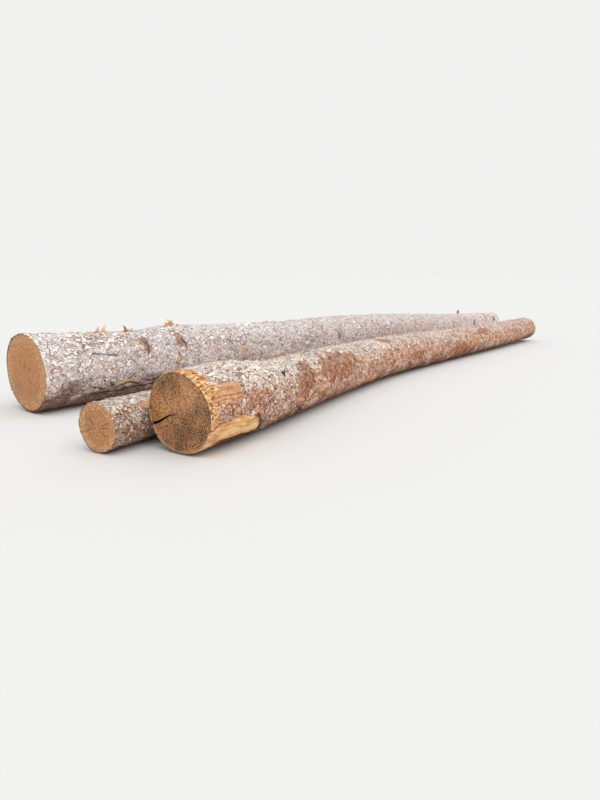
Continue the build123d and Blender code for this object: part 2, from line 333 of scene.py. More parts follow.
def crowded_rows(length, count, first):
    """Places along a log: steps grow evenly from the first one at the thick end."""
    low, high = 1, 1.1
    for _ in range(60):
        growth = (low + high) / 2
        reach = first * (growth ** (count - 1) - 1) / (growth - 1)
        low, high = (growth, high) if reach < length else (low, growth)
    steps = first * growth ** np.arange(count - 1)
    places = np.concatenate([[0], np.cumsum(steps)])
    return places * (length / places[-1])


class Log:
    """A CAD log measured by rays from its middle line, in the log's own frame."""

    def __init__(self, node, angles):
        self.node = node
        self.turn = Matrix.Rotation(-math.radians(HEADINGS[node]), 3, "Z")
        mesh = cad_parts[node].data
        corners = [self.turn @ v.co for v in mesh.vertices]
        self.tree = BVHTree.FromPolygons(corners, [tuple(p.vertices) for p in mesh.polygons])
        self.start = min(c.x for c in corners)
        self.length = max(c.x for c in corners) - self.start
        self.angles = angles
        self.rows = crowded_rows(self.length, ROWS[node], FIRST_STEP)
        self.places = self.rows[:, None]
        self.fit_middle(corners)
        self.cast_rays()

    def fit_middle(self, corners):
        """A smooth middle line through the widest points of the sections."""
        places = np.linspace(LINE_START, self.length - 0.02, LINE_STEPS)
        near = [c for c in corners if c.x - self.start < 0.45]
        y = (max(c.y for c in near) + min(c.y for c in near)) / 2
        z = max(c.z for c in near) / 2
        found = []
        for place in places:
            for _ in range(3):
                seat = Vector((self.start + place, y, z))
                y += (self.ray(seat, (0, 1, 0)) - self.ray(seat, (0, -1, 0))) / 2
                z += (self.ray(seat, (0, 0, 1)) - self.ray(seat, (0, 0, -1))) / 2
            found.append((y, z))
        found = np.array(found)
        # Towards the thick end the line runs on straight
        slope = (found[4] - found[0]) / (places[4] - places[0])
        start = np.linspace(0, 0.25, 6)
        found = np.concatenate([found[0] + (start - places[0])[:, None] * slope, found])
        places = np.concatenate([start, places])
        self.fit_y = np.polynomial.Polynomial.fit(places, found[:, 0], LINE_DEGREE)
        self.fit_z = np.polynomial.Polynomial.fit(places, found[:, 1], LINE_DEGREE)

    def ray(self, seat, direction):
        hit = self.tree.ray_cast(seat, Vector(direction))
        return hit[3] if hit[0] is not None else 0

    def cast_rays(self):
        inset = np.clip(self.rows, 0.0004, self.length - 0.0004)
        self.middle_y = self.fit_y(self.rows)
        self.middle_z = self.fit_z(self.rows)
        self.cosines = np.cos(np.radians(self.angles))
        self.sines = np.sin(np.radians(self.angles))
        radius = np.zeros((len(self.rows), len(self.angles)))
        # The rays come from outside, as the split opens the wood round the middle line
        for i, place in enumerate(inset):
            seat = Vector((self.start + place, self.middle_y[i], self.middle_z[i]))
            for j in range(len(self.angles)):
                out = Vector((0, self.cosines[j], self.sines[j]))
                radius[i, j] = RAY_START - self.ray(seat + out * RAY_START, -out)
        self.radius = rounded(opened(closed(radius, 3), 4), 4)
        self.girth = np.median(self.radius, axis=1)

    def points(self, radius):
        """Points of the skin at a grid of radii."""
        grid = np.zeros(radius.shape + (3,))
        grid[..., 0] = (self.start + self.rows)[:, None]
        grid[..., 1] = self.middle_y[:, None] + radius * self.cosines
        grid[..., 2] = self.middle_z[:, None] + radius * self.sines
        return grid

    def arc(self, angle):
        """Metres round the bark from an angle to each column, for every row."""
        return np.radians(turn_between(self.angles, angle)) * self.girth[:, None]

    def nearest(self, place, angle):
        """Row and column next to a place."""
        i = int(np.clip(np.searchsorted(self.rows, place), 1, len(self.rows) - 1))
        j = int(np.searchsorted(self.angles, angle % 360)) % len(self.angles)
        return i, j

    def skin(self, place, angle, lift=0):
        """A point of the finished skin, and the direction out of it."""
        i, j = self.nearest(place, angle)
        share = (place - self.rows[i - 1]) / (self.rows[i] - self.rows[i - 1])
        radius = (1 - share) * self.finished[i - 1, j] + share * self.finished[i, j] + lift
        cosine = math.cos(math.radians(angle))
        sine = math.sin(math.radians(angle))
        y = float(self.fit_y(place)) + radius * cosine
        z = float(self.fit_z(place)) + radius * sine
        return Vector((self.start + place, y, z)), Vector((0, cosine, sine))

    def to_row(self, points):
        """Points turned from the log's own frame into the row's, kept inside the solid's box."""
        turned = points @ np.array(self.turn)
        low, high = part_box(self.node)
        return np.clip(turned, np.array(low), np.array(high))

    def mesh(self, name, points, faces, labels):
        """A mesh object from points in the log's own frame."""
        return build_mesh(name, self.to_row(np.array([tuple(p) for p in points])), faces, labels)


def patch_mask(log, surface, patch, seed):
    """How much of a patch covers each point, with a ragged edge."""
    place, angle, half_length, half_width = patch[:4]
    along = np.abs(log.places - place) / half_length
    across = np.abs(log.arc(angle)) / half_width
    ragged = 0.4 * noise(surface, 0.07, seed, 3) + 0.18 * noise(surface, 0.018, seed + 9)
    away = (along ** 2.5 + across ** 2.5) ** 0.4 + ragged
    return 1 - smoothstep(0.88, 1.02, away)


def crack_mask(log, surface, width, line, seed):
    """A wavering line along the bark, thin at its ends."""
    wander = 0.006 * noise(surface, 0.035, seed, 2)
    mask = np.zeros(log.radius.shape)
    for (place, angle), (next_place, next_angle) in zip(line, line[1:]):
        girth = float(np.interp(place, log.rows, log.girth))
        run = next_place - place
        climb = math.radians(next_angle - angle) * girth
        along = log.places - place + wander
        across = log.arc(angle) + wander
        share = np.clip((along * run + across * climb) / (run * run + climb * climb), 0, 1)
        away = np.hypot(along - share * run, across - share * climb)
        mask = np.maximum(mask, 1 - smoothstep(0.25 * width, 0.75 * width, away))
    return mask * smoothstep(-0.9, -0.2, noise(surface, 0.05, seed + 4))


def tear_mask(log, surface, seed):
    """Bare wood where the slab split off, with ragged edges."""
    ragged = 2.2 * noise(surface, 0.04, seed, 3)
    upper = np.interp(log.places, TEAR_PLACES, TEAR_UPPER)
    lower = np.interp(log.places, TEAR_PLACES, TEAR_LOWER)
    angles = log.angles + ragged
    inside = smoothstep(-1.5, 1.5, angles - upper) * smoothstep(-1.5, 1.5, lower - angles)
    ends = log.places + 0.01 * noise(surface, 0.03, seed + 5, 2)
    return inside * (1 - smoothstep(TEAR_PLACES[-1] - 0.02, TEAR_PLACES[-1] - 0.01, ends))


def smooth_tear(log, mask):
    """One even hollow where the slab split off, without the ridges between its flat cuts."""
    log.radius = log.radius + mask * (softened(log.radius, 9) - log.radius)


def broken_end(log, surface, seed):
    """A painted shadow at the broken edge of the bark round the far end of the torn slab."""
    end = np.interp(log.angles, TEAR_END_ANGLES, TEAR_END_PLACES)
    inside = smoothstep(TEAR_END_ANGLES[0], TEAR_END_ANGLES[1], log.angles)
    inside = inside * (log.angles < TEAR_END_ANGLES[-1])
    away = log.places + 0.014 * noise(surface, 0.03, seed, 2) - end
    return inside * np.exp(-((away / 0.018) ** 2))


def chewed_mask(log, surface, seed):
    """Torn fibres behind the sawn rim."""
    reach = np.interp(log.angles, CHEWED_ANGLES, CHEWED_REACH, 0, 0)
    fibres = squeezed(surface, 0.1)
    ragged = 0.35 * noise(fibres, 0.016, seed, 2) + 0.2 * noise(surface, 0.05, seed + 3, 2)
    mask = 1 - smoothstep(0, 0.012, log.places - reach * (1 + ragged))
    return mask * smoothstep(0, 0.03, reach)


def paint(log, surface, patches, cracks, seed):
    """Tint masks of a log, and how deep the painted places lie."""
    masks = {tint: np.zeros(log.radius.shape) for tint in TINTS}
    depth = np.zeros(log.radius.shape)
    for number, patch in enumerate(patches):
        mask = patch_mask(log, surface, patch, seed + number)
        masks[patch[5]] = np.maximum(masks[patch[5]], mask)
        depth += mask * patch[4]
    # Cracks are painted dark: painted shade in them
    for number, (width, line) in enumerate(cracks):
        mask = crack_mask(log, surface, width, line, seed + 50 + number)
        masks["dark"] = np.maximum(masks["dark"], mask)
        depth += CRACK_DEPTH * mask
    if log.node == "front_log":
        # The drying check is painted dark where it opens in the bark: painted shade in the split
        half = CHECK_MOUTH / 2 * np.clip(1 - log.places / CHECK_DEPTH, 0, None)
        notch = 1 - smoothstep(0.5, 1.2, np.abs(log.arc(CHECK_ANGLE)) / (half + 1e-6))
        masks["dark"] = np.maximum(masks["dark"], notch)
        depth += SPLIT_DEPTH * notch
        masks["torn"] = chewed_mask(log, surface, seed + 80)
        masks["fresh"] = tear_mask(log, surface, seed + 85) * (1 - masks["torn"])
        # A shadow is painted dark round the tear, where the bark's broken edge would cast it
        edge = 4 * masks["fresh"] * (1 - masks["fresh"])
        masks["dark"] = np.maximum(masks["dark"] * (1 - masks["fresh"]), 0.6 * edge)
        # A painted shadow at the far end of the tear, below the bark's broken edge
        broken = broken_end(log, surface, seed + 88)
        masks["dark"] = np.maximum(masks["dark"], broken)
        masks["fresh"] = masks["fresh"] * (1 - broken)
        depth = depth * (1 - masks["fresh"]) + TEAR_DEPTH * masks["fresh"] + BROKEN_DEPTH * broken
        smooth_tear(log, masks["fresh"])
        step = scales(squeezed(surface, 0.45), 0.026, seed + 90)[1]
        depth += masks["torn"] * CHEWED_STEP * step * smoothstep(0, 0.02, log.places)
    return masks, depth


def bark_relief(surface, plate, seed):
    """Depth of the bark's relief below its highest scales, and its crevices, where shade is painted."""
    stretch = squeezed(surface, 0.9)
    warp = np.stack([noise(stretch, 0.05, seed + k, 3) for k in range(3)], axis=-1)
    warped = stretch + warp * 0.014
    plate_edge, plate_tone, plate_tilt = scales(warped, plate, seed + 5)
    scale_edge, scale_tone, scale_tilt = scales(warped, plate * 0.42, seed + 11)
    swell = noise(surface, 0.3, seed + 21, 2)
    ridge = noise(surface * np.array([2, 0.7, 0.7]), 0.1, seed + 31, 2)
    depth = 0.002 * (1 - plate_tone) + 0.0016 * (1 - scale_tone)
    depth = depth + 0.002 * plate_tilt + 0.0014 * scale_tilt
    depth = depth + 0.0026 * (1 - smoothstep(0.03, 0.16, plate_edge))
    depth = depth + 0.0012 * (1 - smoothstep(0.03, 0.2, scale_edge))
    depth = depth + 0.001 * (1 + swell) + 0.0012 * (1 + ridge)
    # Painted shade in crevices at the plates' edges, where the noise opens them
    open_share = smoothstep(0, 0.7, noise(surface, 0.11, seed + 41, 2))
    crevice = (1 - smoothstep(0.02, 0.11, plate_edge)) * open_share
    return np.clip(depth, 0, None), crevice


def hanging_bark(log):
    """The strip of bark left below the torn slab, where shade is painted in full."""
    lower = np.interp(log.places, TEAR_PLACES, TEAR_LOWER)
    inside = smoothstep(-3, 3, log.angles - lower) * (log.angles < 290)
    return inside * (1 - smoothstep(0.5, 0.62, log.places))


def weathering(log, surface, looks, seed):
    """How warm the bark is, how whitened, with painted light on its top, and how much shade is painted on
    its lower side, from 0 to 1 each.
    """
    along = {}
    for label in ("warm", "white", "top", "painted_shade"):
        along[label] = np.interp(log.places, looks["places"], looks[label])
    warm = along["warm"] + 0.3 * noise(surface, 0.16, seed, 3)
    # Whiter on top: painted light from above, added to the bark's own whitening
    white = along["white"] + along["top"] * smoothstep(0.15, 1, log.sines)
    white = white + 0.22 * noise(surface, 0.1, seed + 5, 3)
    # Painted shade: the lower side darkens below a ragged line
    ragged = log.sines + 0.3 * noise(surface, 0.09, seed + 9, 3)
    under = smoothstep(looks["under"], -1, ragged)
    # The strip below the torn slab gets the full painted shade
    if log.node == "front_log":
        under = np.maximum(under, hanging_bark(log) / along["painted_shade"])
    under = np.clip(under * along["painted_shade"], 0, 1)
    return {"warm": warm, "white": np.clip(white, 0, 1), "under": under}


def tube_faces(base, levels, sides):
    """Quads between rings of points that follow one another."""
    faces = []
    for level in range(levels - 1):
        for k in range(sides):
            a = base + level * sides + k
            b = base + level * sides + (k + 1) % sides
            faces.append((a, b, b + sides, a + sides))
    return faces


def add_object(name, data):
    """A new object in the scene."""
    item = bpy.data.objects.new(name, data)
    bpy.context.scene.collection.objects.link(item)
    return item


def build_mesh(name, points, faces, attributes, kinds=None):
    """A mesh object with float attributes on its points and a material number on its faces."""
    mesh = bpy.data.meshes.new(name)
    mesh.from_pydata(points.tolist(), [], faces)
    for label, values in attributes.items():
        layer = mesh.attributes.new(label, "FLOAT", "POINT")
        layer.data.foreach_set("value", np.asarray(values, np.float32))
    if kinds is not None:
        mesh.polygons.foreach_set("material_index", kinds)
    mesh.polygons.foreach_set("use_smooth", [True] * len(mesh.polygons))
    mesh.set_sharp_from_angle(angle=math.radians(SHARP_ANGLE))
    mesh.update()
    return add_object(name, mesh)


def cap_rings(log, rim, row, seed, check):
    """Points of a sawn face, ring by ring from the rim to the pith, and its split."""
    shares = (1 - np.linspace(0, 1, CAP_RINGS + 1)[1:-1] ** 0.9) ** 0.85
    shares = np.concatenate([[0.985, 0.965], shares[1:]])
    middle = np.array([rim[0, 0], log.middle_y[row], log.middle_z[row]])
    inward = 1 if row == 0 else -1
    away = np.abs(turn_between(log.angles, CHECK_ANGLE))
    rings, splits = [], []
    for share in shares:
        ring = middle + (rim - middle) * share
        reach = np.linalg.norm(ring - middle, axis=1)
        split = np.zeros(len(log.angles))
        if check:
            bend = np.interp(share, CHECK_SHARES, CHECK_TURNS)
            turn = np.radians(bend * np.exp(-((away / 9) ** 2)))
            y = ring[:, 1] - middle[1]
            z = ring[:, 2] - middle[2]
            ring[:, 1] = middle[1] + y * np.cos(turn) - z * np.sin(turn)
            ring[:, 2] = middle[2] + y * np.sin(turn) + z * np.cos(turn)
            full = share * log.girth[row]
            open_share = np.clip((full - CHECK_INNER_REACH) / 0.2, 0, 1) ** 0.6
            gap = np.radians(away) * full
            split = np.clip(1.4 - gap / (CHECK_MOUTH / 2 * open_share + 1e-6), 0, 1)
            split = split * (open_share > 0)
        rough = 0.0016 + 0.0014 * noise(ring, 0.016, seed, 2) + 0.0008 * noise(ring, 0.07, seed + 3)
        ring[:, 0] = rim[0, 0] + inward * (np.clip(rough, 0, None) + FACE_SPLIT_DEPTH * split)
        rings.append(ring)
        splits.append(split)
    return np.array(rings), np.array(splits), middle


def cap_faces(first, rim, rings, columns, flip):
    """Quads between the rings of a sawn face, and triangles round its pith."""
    faces = []
    outer = rim
    for r in range(rings):
        inner = [first + r * columns + j for j in range(columns)]
        for j in range(columns):
            k = (j + 1) % columns
            faces.append((outer[j], outer[k], inner[k], inner[j]))
        outer = inner
    pith = first + rings * columns
    faces += [(outer[j], outer[(j + 1) % columns], pith) for j in range(columns)]
    return [tuple(reversed(face)) for face in faces] if flip else faces


def cap_marks(points, middle, girth, seed):
    """Tint masks of the marks on the front log's sawn face: weathered tints, painted light and painted
    shade.
    """
    left = (points[:, 1] - middle[1]) / girth
    up = (points[:, 2] - middle[2]) / girth
    masks = {}
    for tint, marks in BUTT_MARKS.items():
        for x, y, size in marks:
            away = np.hypot(left - x, up - y) + 0.12 * noise(points, 0.05, seed, 3)
            mask = np.exp(-((np.clip(away, 0, None) / size) ** 2))
            masks[tint] = np.maximum(masks.get(tint, 0), mask)
            seed += 1
    return masks


def star_checks(points, middle, seed):
    """Fine drying checks that run from near the pith of a sawn face, painted dark as shade in them."""
    random = np.random.default_rng(seed)
    angles = np.degrees(np.arctan2(points[:, 2] - middle[2], points[:, 1] - middle[1]))
    reach = np.linalg.norm(points[:, 1:] - middle[1:], axis=-1)
    mask = np.zeros(len(points))
    for _ in range(6):
        angle = random.uniform(0, 360)
        inner = random.uniform(0.01, 0.05)
        outer = random.uniform(0.07, 0.15)
        bend = 8 * noise(points, 0.06, seed + 2)
        gap = np.radians(np.abs(turn_between(angles + bend, angle))) * reach
        ends = smoothstep(inner, inner + 0.02, reach) * (1 - smoothstep(outer - 0.03, outer, reach))
        mask = np.maximum(mask, ends * (1 - smoothstep(0.001, 0.006, gap)))
    return 0.5 * mask


def column_angles(node):
    """Angles of the points round a log, with extra ones at the drying check."""
    count = COLUMNS[node]
    if node != "front_log":
        return np.arange(count) * 360 / count
    fine = np.arange(0, 360, 0.05)
    density = 1 + 7 * np.exp(-((turn_between(fine, CHECK_ANGLE) / 2.2) ** 2))
    total = np.concatenate([[0], np.cumsum(density)])
    wanted = np.arange(count) * total[-1] / count
    return np.interp(wanted, total, np.concatenate([fine, [360]]))


def make_log(node, patches, cracks, looks, plate, seed):
    """One log: displaced bark and two sawn faces, as one closed mesh."""
    log = Log(node, column_angles(node))
    surface = log.points(log.radius)
    masks, depth = paint(log, surface, patches, cracks, seed + 100)
    relief, crevice = bark_relief(surface, plate, seed)
    bare = np.max([masks["fresh"], masks["torn"], 0.8 * masks["tan"], 0.6 * masks["bare"]], axis=0)
    grain = 0.0007 * (1 + noise(squeezed(surface, 0.12), 0.012, seed + 60))
    lowered = relief * (1 - bare) + grain * bare + np.clip(depth, 0, None)
    log.finished = log.radius - lowered
    log.looks = weathering(log, surface, looks, seed + 200)
    log.clear = np.maximum(bare, masks["dark"])
    grid = log.points(log.finished)
    rows, columns = log.radius.shape
    points = [grid.reshape(-1, 3)]
    faces = [(a, d, c, b) for a, b, c, d in tube_faces(0, rows, columns)]
    kinds = [0] * len(faces)
    labels = {tint: [masks[tint].ravel()] for tint in TINTS}
    labels["crevice"] = [(crevice * (1 - bare)).ravel()]
    labels["radial"] = [np.ones(rows * columns)]
    for label, values in log.looks.items():
        labels[label] = [values.ravel()]
    for end, row in ((0, 0), (1, rows - 1)):
        marked = node == "front_log" and end == 0
        rings, splits, middle = cap_rings(log, grid[row], row, seed + 70 + end, marked)
        first = sum(len(p) for p in points)
        rim = [row * columns + j for j in range(columns)]
        faces += cap_faces(first, rim, len(rings), columns, end == 1)
        kinds += [1] * (len(faces) - len(kinds))
        face_points = np.concatenate([rings.reshape(-1, 3), middle[None, :]])
        points.append(face_points)
        reach = np.linalg.norm(face_points[:, 1:] - middle[1:], axis=-1) / log.girth[row]
        if marked:
            found = cap_marks(face_points, middle, log.girth[row], seed + 300)
            # The split in the sawn face is painted dark: painted shade in it
            found["dark"] = np.append(splits.ravel(), 0)
        else:
            found = {"dark": star_checks(face_points, middle, seed + end)}
        found["radial"] = reach
        for label, values in labels.items():
            values.append(found.get(label, np.zeros(len(face_points))))
    attributes = {label: np.concatenate(values) for label, values in labels.items()}
    wood = log.to_row(np.concatenate(points))
    return log, build_mesh(node + "_wood", wood, faces, attributes, kinds)


class Slivers:
    """Thin closed blades gathered into one mesh, each with its own tone."""

    def __init__(self, seed):
        self.random = np.random.default_rng(seed)
        self.points = []
        self.faces = []
        self.tones = []

    def blade(self, rows, thick, tone):
        """A blade through rows of centre, side, outward direction and half width."""
        base = len(self.points)
        for centre, side, out, half in rows:
            for a, b in ((half, 0), (0.15 * half, thick), (-half, 0), (-0.1 * half, -thick)):
                self.points.append(centre + side * a + out * b)
        last = len(self.points) - 4
        self.faces += tube_faces(base, len(rows), 4)
        self.faces.append((base + 3, base + 2, base + 1, base))
        self.faces.append((last, last + 1, last + 2, last + 3))
        self.tones += [tone] * (len(rows) * 4)

    def standing(self, log, place, angle, height, width, lean, tone):
        """A shred torn up from the bark, curved and pointed."""
        levels = 7
        foot, out = log.skin(place, angle, -SHRED_ROOT)
        across = out.cross(ALONG)
        twist = self.random.uniform(-0.8, 0.8)
        tip_over = self.random.uniform(-0.3, 0.3) * height
        rows = []
        for level in range(levels):
            share = level / (levels - 1)
            rise = (height + SHRED_ROOT) * math.sin(share * SHRED_ARC) / math.sin(SHRED_ARC)
            drift = lean * share ** 1.6
            centre = foot + out * rise + ALONG * drift + across * (tip_over * share ** 2)
            turn = twist * share
            side = ALONG * math.cos(turn) + across * math.sin(turn)
            facing = across * math.cos(turn) - ALONG * math.sin(turn)
            jag = self.random.uniform(0.75, 1.15)
            rows.append((centre, side, facing, width / 2 * (1 - share) ** 0.6 * jag + 0.0006))
        self.blade(rows, 0.0016, tone)

    def lying(self, log, line, width, lift, tone):
        """A strip that follows the bark through places, its far end lifted."""
        levels = 5 * (len(line) - 1) + 1
        marks = np.linspace(0, 1, len(line))
        seats = []
        for level in range(levels):
            share = level / (levels - 1)
            place, angle = [float(np.interp(share, marks, values)) for values in zip(*line)]
            centre, out = log.skin(place, angle, 0.0012 + lift * share ** 2)
            taper = math.sin(math.pi * (0.12 + 0.8 * share)) ** 0.6
            seats.append((centre, out, width / 2 * taper * self.random.uniform(0.7, 1.2)))
        rows = []
        for level, (centre, out, half) in enumerate(seats):
            ahead = seats[min(level + 1, levels - 1)][0] - seats[max(level - 1, 0)][0]
            rows.append((centre, out.cross(ahead).normalized(), out, half))
        self.blade(rows, 0.0014, tone)

    def build(self, log, name):
        return log.mesh(name, self.points, self.faces, {"tone": self.tones})


def make_shreds(log, name, shreds, strips, seed):
    """Bundles of torn shreds standing on the bark, and strips lying on it."""
    slivers = Slivers(seed)
    random = slivers.random
    for place, angle, height, spread, lean, count in shreds:
        for number in range(count):
            size = 1 if number == 0 else random.uniform(0.3, 0.85)
            seat = place + (0 if number == 0 else random.uniform(-spread, spread))
            turn = angle + (0 if number == 0 else random.uniform(-4, 4))
            tilt = lean + random.uniform(-0.5, 0.5) * height
            width = random.uniform(0.024, 0.046)
            slivers.standing(log, seat, turn, height * size, width, tilt * size, random.random())
    for line, width, lift, tone in strips:
        slivers.lying(log, line, width, lift, tone)
    return slivers.build(log, name)


def make_fibres(log, name, count, seed):
    """Torn fibres of the chewed rim, lying along the log with their ends up."""
    slivers = Slivers(seed)
    random = slivers.random
    for _ in range(count):
        angle = random.uniform(CHEWED_ANGLES[1], CHEWED_ANGLES[-2])
        reach = float(np.interp(angle, CHEWED_ANGLES, CHEWED_REACH))
        start = random.uniform(0.004, max(reach, 0.02))
        length = random.uniform(0.018, 0.055)
        slant = random.uniform(-3, 3)
        lift = random.uniform(0.001, 0.006)
        line = [(start + length, angle + slant), (start + length / 2, angle), (start, angle - slant)]
        slivers.lying(log, line, random.uniform(0.004, 0.01), lift, random.uniform(0.45, 1))
    return slivers.build(log, name)


def make_flakes(log, name, count, size, crest, seed):
    """Thin ragged scales of bark, lifted at one side, as one mesh of closed chips."""
    random = np.random.default_rng(seed)
    points, faces = [], []
    labels = {"tone": [], "warm": [], "white": [], "under": []}
    for number in range(count):
        place = log.length * random.random() ** 1.5
        angle = random.uniform(0, 360)
        broad = number < crest[0]
        if broad:
            place = random.uniform(crest[1], crest[2])
            angle = random.uniform(crest[3], crest[4])
        row, column = log.nearest(place, angle)
        sides = int(random.integers(4, 7))
        spin = random.uniform(-0.5, 0.5) + (math.pi / 2 if random.random() < 0.35 else 0)
        long_side = size * random.uniform(0.6, 1.3) * (1.9 if random.random() < 0.06 else 1)
        wide_side = long_side * random.uniform(0.35, 0.75)
        long_side *= 1.5 if broad else 1
        lift = random.uniform(*FLAKE_LIFTS)
        curl = random.uniform(0, FLAKE_CURL)
        tone = random.random()
        shape = random.uniform(0.45, 1.2, sides)
        if GROUND_ANGLES[0] < angle < GROUND_ANGLES[1] or log.clear[row, column] > 0.3:
            continue
        foot, out = log.skin(place, angle)
        across = out.cross(ALONG)
        u = ALONG * math.cos(spin) + across * math.sin(spin)
        v = out.cross(u)
        base = len(points)
        for layer in FLAKE_FACES:
            for k in range(sides):
                turn = 2 * math.pi * k / sides
                a = long_side * math.cos(turn) * shape[k]
                b = wide_side * math.sin(turn) * shape[k]
                height = layer + lift * (a + long_side) * 0.5 + curl * a * a - b * b / 0.5
                points.append(foot + u * a + v * b + out * height)
            points.append(foot + out * (layer + lift * long_side * 0.5))
        bottom = base + sides + 1
        for k in range(sides):
            m = (k + 1) % sides
            faces.append((base + sides, base + k, base + m))
            faces.append((bottom + sides, bottom + m, bottom + k))
            faces.append((base + k, bottom + k, bottom + m, base + m))
        labels["tone"] += [tone] * (2 * sides + 2)
        # The flakes take the bark's looks: its warmth, its whitening with painted light on top, and its
        # painted shade below
        for label, values in log.looks.items():
            labels[label] += [float(values[row, column])] * (2 * sides + 2)
    return log.mesh(name, points, faces, labels)


def make_stubs(log, name, seed):
    """Cut branches with rough rounded sides and a sawn end."""
    random = np.random.default_rng(seed)
    points, faces, tones = [], [], []
    for place, angle, height, radius in STUBS[log.node]:
        tip, out = log.skin(place, angle, height)
        length = STUB_ROOT + height
        growth = (out + Vector((STUB_LEAN, 0, 0))).normalized()
        foot = tip - growth * length
        u = growth.cross(Vector((0, out.z, -out.y))).normalized()
        v = growth.cross(u)
        base = len(points)
        for level in range(STUB_LEVELS):
            share = level / (STUB_LEVELS - 1)
            size = radius * (1 - (1 - STUB_TAPER) * share)
            for k in range(STUB_SIDES):
                turn = 2 * math.pi * k / STUB_SIDES
                ragged = size * (1 + random.uniform(-0.06, 0.06))
                side = u * (ragged * math.cos(turn)) + v * (ragged * math.sin(turn))
                points.append(foot + growth * (length * share) + side)
        faces += tube_faces(base, STUB_LEVELS, STUB_SIDES)
        faces.append(tuple(base + k for k in reversed(range(STUB_SIDES))))
        last = len(points) - STUB_SIDES
        points.append(tip)
        tones += [0.35] * (STUB_LEVELS * STUB_SIDES) + [1]
        faces += [(last + k, last + (k + 1) % STUB_SIDES, last + STUB_SIDES) for k in range(STUB_SIDES)]
    return log.mesh(name, points, faces, {"tone": tones})


class Nodes:
    """Builds a node tree; an input given as a socket is linked, any other is set."""

    def __init__(self, tree):
        self.tree = tree

    def add(self, kind, inputs=None, **settings):
        node = self.tree.nodes.new(kind)
        for label, value in settings.items():
            setattr(node, label, value)
        self.fill(node, inputs or {})
        return node

    def fill(self, node, inputs):
        for label, value in inputs.items():
            if isinstance(value, bpy.types.NodeSocket):
                self.tree.links.new(value, node.inputs[label])
            else:
                node.inputs[label].default_value = value


class Shader(Nodes):
    """Builds one material."""

    def __init__(self, name, tones=None):
        self.tones = tones
        self.material = bpy.data.materials.new(name)
        self.material.use_nodes = True
        super().__init__(self.material.node_tree)
        self.place = self.add("ShaderNodeTexCoord").outputs["Object"]

    def colour(self, value):
        """A colour from a tone's name, from three numbers as on a screen, or from a socket."""
        if isinstance(value, str):
            value = self.tones[value]
        return srgb(*value) if isinstance(value, tuple) else value

    def stretched(self, vector, share):
        """A place drawn together along the log."""
        return self.add("ShaderNodeMapping", {"Vector": vector, "Scale": (share, 1, 1)}).outputs["Vector"]

    def noise(self, scale, detail=3, vector=None, roughness=0.5):
        inputs = {"Vector": vector or self.place, "Scale": scale, "Detail": detail, "Roughness": roughness}
        return self.add("ShaderNodeTexNoise", inputs).outputs["Fac"]

    def cells(self, scale, vector):
        """Two random numbers for each cell."""
        node = self.add("ShaderNodeTexVoronoi", {"Vector": vector, "Scale": scale})
        split = self.add("ShaderNodeSeparateColor", {"Color": node.outputs["Color"]})
        return split.outputs["Red"], split.outputs["Green"]

    def cell_edge(self, scale, vector):
        inputs = {"Vector": vector, "Scale": scale}
        node = self.add("ShaderNodeTexVoronoi", inputs, feature="DISTANCE_TO_EDGE")
        return node.outputs["Distance"]

    def warped(self, vector, scale, amount):
        """A place, shaken by noise."""
        node = self.add("ShaderNodeTexNoise", {"Vector": vector, "Scale": scale, "Detail": 3})
        halves = {0: node.outputs["Color"], 1: (0.5, 0.5, 0.5)}
        centred = self.add("ShaderNodeVectorMath", halves, operation="SUBTRACT")
        sized = self.add("ShaderNodeVectorMath", {0: centred.outputs[0], "Scale": amount}, operation="SCALE")
        return self.add("ShaderNodeVectorMath", {0: vector, 1: sized.outputs[0]}).outputs[0]

    def range(self, value, low, high):
        """0 at one value and 1 at another, with a smooth rise between them."""
        inputs = {"Value": value, "From Min": low, "From Max": high}
        return self.add("ShaderNodeMapRange", inputs, interpolation_type="SMOOTHSTEP").outputs["Result"]

    def math(self, operation, first, *others):
        """One sum after another; a sine or the like takes one value."""
        for other in others or (0,):
            first = self.add("ShaderNodeMath", {0: first, 1: other}, operation=operation).outputs[0]
        return first

    def times(self, *values):
        return self.math("MULTIPLY", *values)

    def plus(self, *values):
        return self.math("ADD", *values)

    def rise(self, value, low, high, share):
        return self.times(self.range(value, low, high), share)

    def mix(self, factor, a, b, blend="MIX"):
        inputs = {"Factor": factor, 6: self.colour(a), 7: self.colour(b)}
        return self.add("ShaderNodeMix", inputs, data_type="RGBA", blend_type=blend).outputs[2]

    def attribute(self, label):
        return self.add("ShaderNodeAttribute", attribute_name=label).outputs["Fac"]

    def layers(self, colour, *rows):
        """Tints over a colour: the value that says where, from, to, its share, the tint."""
        for value, low, high, share, tint in rows:
            colour = self.mix(self.rise(value, low, high, share), colour, tint)
        return colour

    def painted(self, colour, *rows):
        """Tints over a colour where a mask of the mesh says: the mask, its share, the tint."""
        for label, share, tint in rows:
            colour = self.mix(self.times(self.attribute(label), share), colour, tint)
        return colour

    def finish(self, colour, roughness, height, bump, distance):
        inputs = {"Height": height, "Strength": bump, "Distance": distance}
        normal = self.add("ShaderNodeBump", inputs).outputs["Normal"]
        inputs = {"Base Color": colour, "Roughness": roughness, "Normal": normal}
        inputs["Specular IOR Level"] = SPECULAR
        self.fill(self.tree.nodes["Principled BSDF"], inputs)
        return self.material


